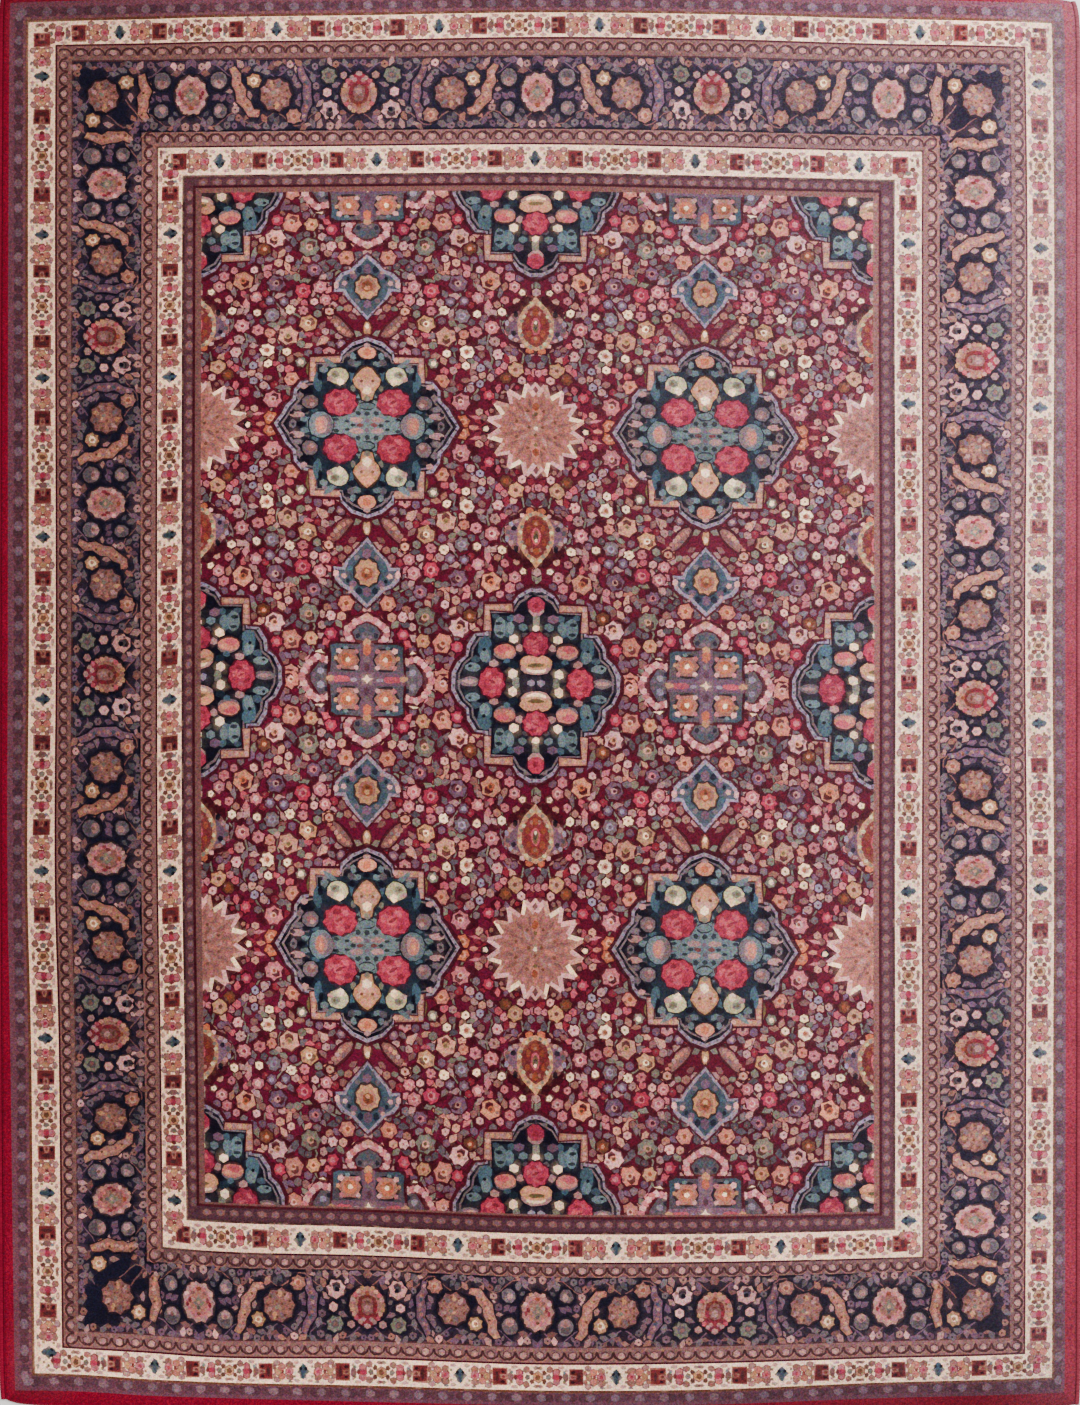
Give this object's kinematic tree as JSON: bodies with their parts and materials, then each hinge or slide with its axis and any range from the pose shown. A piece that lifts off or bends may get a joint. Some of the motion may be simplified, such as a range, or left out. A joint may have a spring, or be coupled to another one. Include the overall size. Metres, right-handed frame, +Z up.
{
  "type": "persian rug",
  "caption": "Flat room-size hand-knotted wool carpet with bowed edges, a bordered medallion and flower pattern, and overcast side selvedges.",
  "frame": {"origin": "on the floor, under the middle of the carpet's box", "axes": "+Z up out of the pile, +Y along the carpet's length, +X across it"},
  "size_m": [3.05, 4.01, 0.011],
  "materials": {
    "wool_pile": "clipped knotted wool pile, matt with a soft sheen",
    "selvedge_wool": "overcast red wool yarn"
  },
  "bodies": {
    "root": {"carpet": "wool_pile", "selvedge_left": "selvedge_wool", "selvedge_right": "selvedge_wool"}
  },
  "joints": []
}
